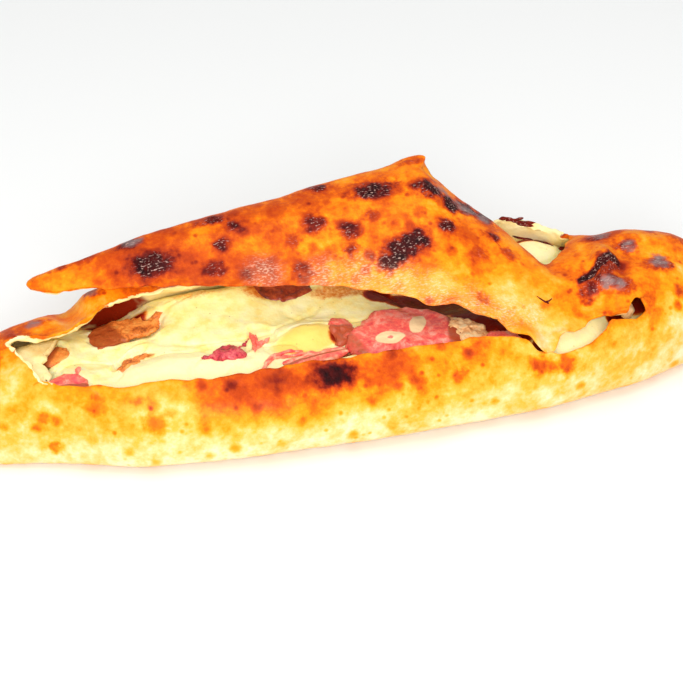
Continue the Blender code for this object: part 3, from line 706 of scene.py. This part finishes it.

# %% [markdown]
# ## Melted cheese as a material
# Warm cheese lets light in a little and wears a film of its own butterfat, so it is pale
# cream with a broad wet gloss, faint green-grey specks of herb, and small closed pores.
# Rust to maroon darkens it where the shade is deep: painted shade, partly meat juice.

# %% Material: melted cheese
def melted_cheese():
    finish, tree, place = new_finish("melted_white_cheese")
    shade_and_stain_mask, white, yellow = (add(tree, "Attribute", out="Fac", attribute_name=n)
                              for n in ("shade_and_stain", "white", "yellow"))
    cloud = add(tree, "TexNoise", {"Vector": place, "Scale": features(7), "Detail": 4.0,
                                   "Roughness": 0.55})
    grain = add(tree, "TexNoise", {"Vector": place, "Scale": features(1.4), "Detail": 3.0})
    colour = add(tree, "ValToRGB", {"Fac": cloud}, stops=(
        (0.28, "FFFACA"), (0.50, "FFF5B0"), (0.66, "FEE890")))
    # specks of herb, about 5 mm apart and under half a millimetre across
    specks = add(tree, "TexVoronoi", {"Vector": place, "Scale": features(4.5)})
    specks = add(tree, "MapRange", {"Value": specks, "From Min": 0.10, "From Max": 0.05,
                                    "To Max": 0.5})
    for share, tone in ((white, "FFF1B6"), (yellow, "F8D870"), (specks, "A89A58")):
        colour = add(tree, "Mix", {0: share, 6: colour, 7: linear(tone)}, data_type="RGBA", out=2)
    # painted shade, partly meat juice: rust at its border, maroon where it is deep
    edge = add(tree, "Math", {0: grain, 1: 0.3, 2: -0.15}, operation="MULTIPLY_ADD")
    edge = add(tree, "Math", {0: edge, 1: shade_and_stain_mask}, operation="ADD")
    shade_and_juice = add(tree, "ValToRGB", {"Fac": edge}, stops=(
        (0.15, "F2BC5C"), (0.35, "D87828"), (0.50, "9C2406"), (0.78, "6E1004")))
    wet_and_shade = add(tree, "MapRange", {"Value": edge, "From Min": 0.06, "From Max": 0.36},
              interpolation_type="SMOOTHSTEP")
    colour = add(tree, "Mix", {0: wet_and_shade, 6: colour, 7: shade_and_juice}, data_type="RGBA", out=2)
    height = add(tree, "Math", {0: cloud, 1: 2.0, 2: grain}, operation="MULTIPLY_ADD")
    rise = add(tree, "Bump", {"Strength": 0.45, "Distance": 0.4 * MM, "Height": height})
    surface = add(tree, "BsdfPrincipled", {
        "Base Color": colour, "Roughness": 0.34, "IOR": 1.46, "Normal": rise,
        "Subsurface Weight": 0.35, "Subsurface Radius": (1.0, 0.75, 0.35),
        "Subsurface Scale": 3.5 * MM, "Specular IOR Level": 0.20,
        "Coat Weight": 0.08, "Coat Roughness": 0.15})
    add(tree, "OutputMaterial", {"Surface": surface})
    return finish


finished("cheese_melted", bm, melted_cheese(), "cheese", "cheese")

# %% [markdown]
# ## The cured meat
# Thin slices of spiced, air-dried meat went in raw-red and baked to pink, with cream
# rings of fat and a rust edge where a slice dried out. Browned pieces were nearer the crust.
# One material serves all the meat: two attributes say how fatty and how browned a place is.

# %% Material: cured meat
def cured_meat(name, pale, red, dark, grain_mm, gloss):
    finish, tree, place = new_finish(name)
    fat, rust = (add(tree, "Attribute", out="Fac", attribute_name=n) for n in ("fat", "rust"))
    cloud = add(tree, "TexNoise", {"Vector": place, "Scale": features(4.5), "Detail": 5.0,
                                   "Roughness": 0.6, "Distortion": 0.6})
    grain = add(tree, "TexNoise", {"Vector": place, "Scale": features(grain_mm), "Detail": 3.0,
                                   "Roughness": 0.7})
    tone = add(tree, "Math", {0: grain, 1: 0.5, 2: -0.25}, operation="MULTIPLY_ADD")
    tone = add(tree, "Math", {0: tone, 1: cloud}, operation="ADD")
    colour = add(tree, "ValToRGB", {"Fac": tone}, stops=(
        (0.30, dark), (0.50, red), (0.72, pale)))
    blur = add(tree, "Math", {0: cloud, 1: 0.7, 2: -0.35}, operation="MULTIPLY_ADD")
    ring = add(tree, "Math", {0: blur, 1: fat}, operation="ADD")
    ring = add(tree, "MapRange", {"Value": ring, "From Min": 0.35, "From Max": 0.70},
               interpolation_type="SMOOTHSTEP")
    dry = add(tree, "Math", {0: blur, 1: rust}, operation="ADD")
    dry = add(tree, "MapRange", {"Value": dry, "From Min": 0.35, "From Max": 0.75, "To Max": 0.85},
              interpolation_type="SMOOTHSTEP")
    for share, shade in ((ring, "FBD9A4"), (dry, "A8481E")):
        colour = add(tree, "Mix", {0: share, 6: colour, 7: linear(shade)}, data_type="RGBA", out=2)
    height = add(tree, "Math", {0: cloud, 1: 1.5, 2: grain}, operation="MULTIPLY_ADD")
    rise = add(tree, "Bump", {"Strength": 0.4, "Distance": 0.4 * MM, "Height": height})
    surface = add(tree, "BsdfPrincipled", {
        "Base Color": colour, "Roughness": gloss, "IOR": 1.42, "Normal": rise,
        "Coat Weight": 0.2, "Coat Roughness": 0.2})
    add(tree, "OutputMaterial", {"Surface": surface})
    return finish


pink = cured_meat("cured_beef_pink", "FFAE98", "FF6E5C", "E2444C", 1.4, 0.35)
red = cured_meat("cured_beef_crumbled", "F08078", "CE3848", "7A1420", 1.0, 0.40)
browned = cured_meat("cured_beef_browned", "FFB860", "F0883A", "A0461C", 0.7, 0.50)
crumbly = cured_meat("minced_meat_crumbly", "FFE8B4", "FFC888", "D07C3C", 1.0, 0.55)
# the dark maroon of the patch under the flap's back edge is partly painted shade of its hollow
maroon_in_shade = cured_meat("cured_beef_dark_in_shade", "B4502A", "8A2A14", "4E0E06", 1.2, 0.40)
print("meat finishes:", [finish.name for finish in (pink, red, browned, crumbly, maroon_in_shade)])

# %% [markdown]
# ## Slices, chunks and strands
# Sliced meat tears into flat morsels with ragged outlines that sink a little into the cheese.
# Each one is a ball squeezed flat: its rim follows the morsel's outline in plan, and its top
# and bottom lie over the cheese. Torn fibres are thin stretched balls laid along a path, and
# they belong to the morsel they were torn from.

# %% Morsels
UNDER_FLAP = 44.0       # mm, a height between the cheese and the flap
SUNK = 0.5              # mm of a morsel's rim in the cheese
BELLY = 1.2             # mm from its rim down to its lowest point


def height_over_cheese(x, y, lowest):
    """Height of the cheese under a point in mm, but no lower than this."""
    hit = cheese_surface.ray_cast(Vector((x, y, UNDER_FLAP)) * MM, Vector((0, 0, -1)))[0]
    return max(lowest, hit.z / MM if hit else lowest)


def morsel(outline, level, thick, ragged=0.6, square=4):
    """A ball squeezed into a flat morsel with this outline, lying on the cheese."""
    bm = bmesh.new()
    middle = sum((Vector(point) for point in outline), Vector((0, 0))) / len(outline)
    around = sorted((math.atan2(y - middle.y, x - middle.x), math.hypot(x - middle.x, y - middle.y))
                    for x, y in outline)
    first, last = around[0], around[-1]
    around = [(last[0] - math.tau, last[1]), *around, (first[0] + math.tau, first[1])]
    reach = max(r for a, r in around)
    segments = max(24, min(120, int(reach * 5)))
    ball = bmesh.ops.create_uvsphere(bm, u_segments=segments, v_segments=segments // 2, radius=1)
    for v in ball["verts"]:
        angle, share = math.atan2(v.co.y, v.co.x), math.hypot(v.co.x, v.co.y)
        for (a0, r0), (a1, r1) in zip(around, around[1:]):
            if a0 <= angle <= a1:
                radius = r0 + (r1 - r0) * (angle - a0) / max(1e-6, a1 - a0)
                break
        x = middle.x + radius * share * math.cos(angle)
        y = middle.y + radius * share * math.sin(angle)
        p = Vector((x, y, 0))
        x += share * ragged * (rough(p, 3.5, 51) + 0.6 * rough(p, 1.4, 52))
        y += share * ragged * (rough(p, 3.5, 53) + 0.6 * rough(p, 1.4, 54))
        body = max(0.0, 1 - share ** square) ** 0.5
        ground = height_over_cheese(x, y, level) - SUNK
        z = ground + (thick + SUNK) * body if v.co.z > 0 else ground - BELLY * body
        v.co = Vector((x, y, z)) * MM
    return bm


# %% Strands, and what a cooked piece has in common
def strands(bm, *fibres, on_cheese=True):
    """Balls stretched along paths as torn fibres: for each its width, then its points, in mm."""
    for width, *path in fibres:
        points = [Vector(point) for point in path]
        ball = bmesh.ops.create_uvsphere(bm, u_segments=10, v_segments=8 * len(points), radius=1)
        for v in ball["verts"]:
            t = max(0.0, min(0.9999, (v.co.z + 1) / 2)) * (len(points) - 1)
            i = int(t)
            p = points[i].lerp(points[i + 1], t - i)
            along = (points[i + 1] - points[i]).normalized()
            side = along.cross(Vector((0, 0, 1))).normalized()
            thin = 1 + 0.5 * rough(p, 2.5, 61)
            if on_cheese:
                p.z = height_over_cheese(p.x, p.y, p.z) + 0.3 * width
            p += (side * v.co.x + side.cross(along) * v.co.y) * width * thin
            p += 0.25 * width * Vector((rough(p, 1.6, 62), rough(p, 1.6, 63), rough(p, 1.6, 64)))
            v.co = p * MM
    return bm


def no(p, v):
    """No fat and no rust anywhere."""
    return 0.0


def rumple(bm, folds, crags, size):
    """Folds and crags pressed along the normals."""
    press(bm, lambda p, n: n * (folds * rough(p, 2.2 * size, 41) + crags * fine(p, size, 42)))


def cooked(node, bm, finish, slot, folds=0.3, crags=0.2, size=2.5, fat=no, rust=no):
    """Rumple a piece, paint its fat and rust, and let it stand for its solid."""
    rumple(bm, folds, crags, size)
    paint(bm, "fat", fat)
    paint(bm, "rust", rust)
    finished(node + "_cooked", bm, finish, slot, node)


print("a morsel sinks", SUNK, "mm into the cheese")

# %% The large slice with its fat, and what lies beside it
def ring_of_fat(p, v):
    """Two cream blobs of fat on the large slice, the left one with a red eye."""
    eye = math.hypot((p.x - 11.5) / 7.0, (p.y + 21.5) / 4.6)
    blob = math.hypot((p.x - 25.5 - 0.35 * (p.y + 15)) / 4.4, (p.y + 15.0) / 6.8)
    return max(ease(eye, 0.10, 0.30) * (1 - ease(eye, 0.7, 1.15)), 1 - ease(blob, 0.6, 1.15))


def dry_edge(p, v):
    """Rust on the right edge, dark red crumbs on the left one."""
    right = ease(p.x - 0.25 * (p.y + 18), 35.5, 40)
    left = 1 - ease(p.x + 0.3 * p.y, -9, -3)
    return max(0.95 * right, 0.62 * left)


bm = morsel((
    (-5.3, -13), (-1.9, -10), (2.2, -7.8), (7.3, -2), (15.4, 1.5), (22.6, 1.5), (32.6, -2.6),
    (38.6, -8), (42.6, -16.7), (43.2, -27.5), (39.6, -30.5), (25.8, -30), (13, -29.5),
    (1.1, -29), (-6.3, -25.5), (-7.5, -19)), 33.4, 2.9, ragged=1.1, square=8)
strands(bm, (1.0, (-2, -12, 34), (-6, -14, 34), (-9, -18, 34)),
        (1.1, (-1, -17, 35), (-6, -19, 34), (-9.5, -24, 34)),
        (0.9, (2, -23, 35), (-4, -24, 34), (-8, -27, 34)))
cooked("meat_slice_large", bm, pink, "cured_meat", 0.9, 0.16, 3.0, ring_of_fat, dry_edge)

bm = morsel(((-9.1, 0.2), (-2.7, -0.6), (-1.3, -6.9), (-5.8, -17.3), (-10.8, -20),
             (-10.4, -12), (-11.5, -5)), 34.2, 1.8, ragged=1.0)
cooked("meat_chunk_middle", bm, pink, "browned_meat", 0.6, 0.4, 2.2,
       rust=lambda p, v: 0.8 * (1 - ease(p.y, -9, -4)))

bm = morsel(((38.2, -9.2), (44.4, -12.4), (50.3, -17.9), (53, -25.4), (52, -31.3),
             (43.3, -32), (39, -25)), 33.2, 2.6, ragged=1.2)
cooked("crumbly_chunk", bm, crumbly, "crumbly_meat", 0.8, 0.8, 2.4)

bm = morsel(((52, -27.7), (58.5, -27.1), (65.5, -30.8), (66, -36), (55.8, -35.5),
             (50, -32)), 34.2, 2.0, ragged=0.8)
cooked("meat_bump_right", bm, pink, "cured_meat", 0.4, 0.4, 2.2)

# %% Pieces in the middle and along the front rim
bm = morsel(((-65.4, -17.5), (-61.3, -12.5), (-56.5, -10), (-51.8, -12), (-49.2, -17),
             (-50.4, -20), (-57.8, -21), (-63.9, -20.4)), 35.2, 2.4, ragged=1.0)
strands(bm, (0.6, (-52, -13, 36), (-48.5, -10, 35), (-46.5, -6.5, 35)),
        (0.7, (-63, -18, 36), (-67, -18.5, 36), (-69, -17, 36)))
cooked("meat_chunk_dark", bm, red, "cured_meat", 0.8, 0.8, 2.2)

bm = strands(bmesh.new(),
             (1.3, (-44.9, -0.6, 34), (-44.4, -5, 34), (-44.8, -10, 34), (-46, -18, 35)),
             (1.1, (-37.4, -6, 34), (-40, -9.4, 34), (-42.4, -11, 34), (-45, -14.7, 35)),
             (1.0, (-42.6, -3, 34), (-43.6, -8, 34), (-43.4, -13, 34)))
cooked("meat_shreds", bm, pink, "cured_meat", 0.2, 0.3, 1.5)

bm = morsel(((-36.8, -25.4), (-28.3, -24), (-19.4, -22.6), (-8.2, -20.6), (-6.5, -23.6),
             (-14.1, -26.8), (-29.2, -27.8), (-36.1, -28.2)), 33.9, 1.6, ragged=0.5)
strands(bm, (1.1, (-46.8, -31.6, 34), (-42.6, -25, 34), (-38.1, -20.4, 34), (-32.6, -18.9, 34),
             (-26, -19.6, 34)),
        (0.9, (-40, -22.6, 34), (-33, -21.6, 34), (-25, -21.4, 34)))
cooked("meat_strip_rim", bm, pink, "cured_meat", 0.25, 0.2, 2.0,
       fat=lambda p, v: 0.42 if p.y < -17 - 0.2 * p.x else 0.0,
       rust=lambda p, v: 0.9 * hill((p.y + 23.2 - 0.17 * (p.x + 8)) / 1.1))

bm = morsel(((-134, -19.5), (-129.4, -15.5), (-123.6, -14.5), (-119, -16.5), (-116.3, -20.4),
             (-116.8, -26), (-128.1, -27), (-134.5, -23)), 35.6, 2.0, ragged=0.9)
strands(bm, (1.0, (-120.5, -17.5, 36), (-119.4, -13, 36), (-118, -8.6, 35)))
cooked("meat_slice_left", bm, pink, "cured_meat", 0.4, 0.2, 2.5,
       rust=lambda p, v: 0.85 * (1 - ease(p.y, -23.6, -21.8)))

# %% Browned pieces in the tears of the cheese, and the bit in the hole
bm = morsel(((-111.5, 18), (-105.2, 23.5), (-97.7, 26), (-92.3, 26.5), (-85.4, 22.5),
             (-78.3, 22.8), (-82.8, 15.4), (-92.2, 13), (-98.3, 9.8), (-108.9, 4.4),
             (-110.9, 11.3)), 31.6, 0.9, ragged=1.1, square=8)
cooked("meat_brown_patch", bm, browned, "browned_meat", 0.35, 0.35, 1.8,
       rust=lambda p, v: 0.30 + 0.55 * (1 - ease(p.x + 0.4 * (p.y - 16), -101, -96)))
bm = morsel(((-133.2, -0.8), (-129.2, 8.6), (-125.2, 9.8), (-121.4, 7), (-122.8, -0.5),
             (-127.8, -4)), 34.0, 0.9, ragged=0.9)
cooked("meat_brown_left", bm, browned, "browned_meat", 0.3, 0.3, 1.8,
       rust=lambda p, v: 0.8 * (1 - ease(p.x - 0.5 * p.y, -130, -126)))
bm = morsel(((-103.9, -13.2), (-101, -8.8), (-96.2, -5.2), (-90.5, -3.6), (-88.3, -5),
             (-93, -8), (-97.6, -12), (-102.5, -15)), 33.2, 0.8, ragged=0.8)
cooked("meat_brown_tear", bm, browned, "browned_meat", 0.3, 0.3, 1.6)
# a dark patch in a hollow under the flap's back edge: meat, darkened with painted shade
bm = morsel(((-38.5, 29), (-35, 21.6), (-27.5, 17.2), (-19, 16.6), (-12, 19.6),
             (-14, 27), (-28, 31)), 35.6, 1.6, ragged=0.2)
cooked("meat_brown_back", bm, maroon_in_shade, "browned_meat", 0.4, 0.3, 2.5)
bm = smoothed(copy_of("meat_bit_hole"), 2)
cooked("meat_bit_hole", bm, crumbly, "crumbly_meat", 0.5, 0.5, 2.0)

# %% [markdown]
# ## Torn flakes, a crack and a film of dough
# Where the back of the crust split, burnt flakes stand up from its edge. A black line along
# the tear below them is painted shadow of the gap between the wall and the cheese, made of
# burnt dough. On the flap a short crack shows dark. At the left end a film of the inner
# dough stuck to the cheese when the crust was lifted. All are thin, so they are laid on the
# measured crust as strands and one flat morsel of the same baked dough.

# %% Flakes, crack lines and the inner film
def dough_bits(name, bm, brown, char, burnt, bare):
    """Finish thin bits of dough: one state of baking for the whole bit."""
    for attribute, value in (("brown", brown), ("char", char), ("burn", burnt), ("torn", bare)):
        paint(bm, attribute, lambda p, v: value)
    finished(name, bm, dough, "crust")


bm = strands(bmesh.new(),
             (0.8, (78.5, 36.4, 50.6), (82, 35.6, 50.9), (85.5, 34.6, 50.2)),
             (0.9, (81.5, 35.2, 50.0), (86, 34.4, 50.2), (89.5, 34, 50.8)),
             (1.1, (83.5, 34.8, 49.8), (87, 33.6, 49.2), (90.5, 32.6, 48.8), (94.5, 31.8, 48.9)),
             (0.9, (86, 33.6, 48.6), (90, 32.4, 47.8), (94, 31.4, 47.4)),
             (0.7, (84, 34.6, 49.6), (88, 33.4, 48.2), (90.5, 32.8, 47.0)), on_cheese=False)
dough_bits("crust_flakes", bm, 0.7, 0.95, 0.80, 0.0)

bm = strands(bmesh.new(),
             (0.45, (76.2, -20.6, 45.9), (78.1, -22.2, 44.9), (79.6, -23.6, 44.0),
              (81.4, -23.3, 44.2), (83.2, -22.4, 44.8)),
             (0.3, (79.6, -23.6, 44.0), (81.0, -24.4, 43.6)),
             # painted shadow: a black line where the back wall meets the cheese, as burnt dough
             (0.7, (85.2, 35.5, 41.1), (88.4, 34.8, 40.0), (91.5, 34.1, 39.4), (94.6, 33.3, 38.8)),
             (0.6, (93.5, 31.5, 39.6), (96.6, 29.6, 39.7), (99.6, 28.3, 38.9), (101.8, 25.8, 38.9)),
             (0.9, (104, 25.8, 37.2), (106.0, 25.4, 37.0), (107.2, 25.6, 37.4)), on_cheese=False)
dough_bits("crust_cracks_and_shadow_line", bm, 0.8, 1.0, 0.86, 0.0)

bm = morsel(((-145.6, 2.5), (-142.2, 7.5), (-136.2, 9.5), (-129.9, 10.3), (-123.7, 9.5),
             (-127.7, 4.5), (-131.2, -0.4), (-133, -6.5), (-134, -13), (-132.0, -20),
             (-133, -24), (-137.5, -22), (-140.8, -15.7), (-144.3, -6.9)), 37.6, 1.2, ragged=0.8)
rumple(bm, 0.9, 0.15, 3.0)
dough_bits("crust_inner_film", bm, 0.0, 0.0, 0.0, 1.0)

# %% [markdown]
# ## Camera, light and table
# The loaf is seen from a little to its left and 35 degrees above, as it lies on a table. Three
# soft lamps and a white room give the flat, bright light of a food stall, with shade only in
# the hollows: the main lamp stands behind the viewer, a low one reaches under the flap, and
# one hangs above. A single lamp would leave the filling in the flap's shadow.

# %% Camera
TARGET = Vector((-7.0, -10.8, 30.0)) * MM
AZIMUTH, ELEVATION, DISTANCE = math.radians(-14.5), math.radians(35), 0.75
toward = Vector((math.sin(AZIMUTH) * math.cos(ELEVATION),
                 -math.cos(AZIMUTH) * math.cos(ELEVATION), math.sin(ELEVATION)))
lens = bpy.data.cameras.new("viewer")
lens.sensor_fit = "HORIZONTAL"
lens.angle = math.radians(22)
viewer = in_scene("viewer", lens)
viewer.location = TARGET + toward * DISTANCE
viewer.rotation_euler = toward.to_track_quat("Z", "Y").to_euler()
bpy.context.scene.camera = viewer
print("camera at", [round(c, 3) for c in viewer.location])

# %% Table, room and lamps
bm = bmesh.new()
bmesh.ops.create_grid(bm, x_segments=1, y_segments=1, size=3.0)
mesh = bpy.data.meshes.new("table_top")
bm.to_mesh(mesh)
bm.free()
table_top = in_scene("table_top", mesh)
# painted board: matt, and a shade under white, so that the loaf's soft shadow shows
board, tree, place = new_finish("white_painted_board")
surface = add(tree, "BsdfPrincipled", {"Base Color": linear("F5F6F5"), "Roughness": 0.8})
add(tree, "OutputMaterial", {"Surface": surface})
mesh.materials.append(board)

room = bpy.data.worlds.new("white_room")
room.use_nodes = True
room.node_tree.nodes["Background"].inputs["Color"].default_value = linear("FFFFFF")
room.node_tree.nodes["Background"].inputs["Strength"].default_value = 0.60
bpy.context.scene.world = room


def lamp(name, place, size, watts):
    """A square soft lamp at a place, turned to the loaf."""
    light = bpy.data.lights.new(name, "AREA")
    light.size, light.energy = size, watts
    holder = in_scene(name, light)
    holder.location = place
    holder.rotation_euler = (Vector(place) - TARGET).to_track_quat("Z", "Y").to_euler()


lamp("front_lamp", (-0.29, -1.18, 0.81), 0.6, 11.8)
lamp("low_lamp", (-0.20, -0.95, 0.28), 0.5, 2.6)
lamp("top_lamp", (0.0, -0.1, 1.4), 0.9, 6)
bpy.context.scene.view_settings.view_transform = "Standard"
print("lamps ready")
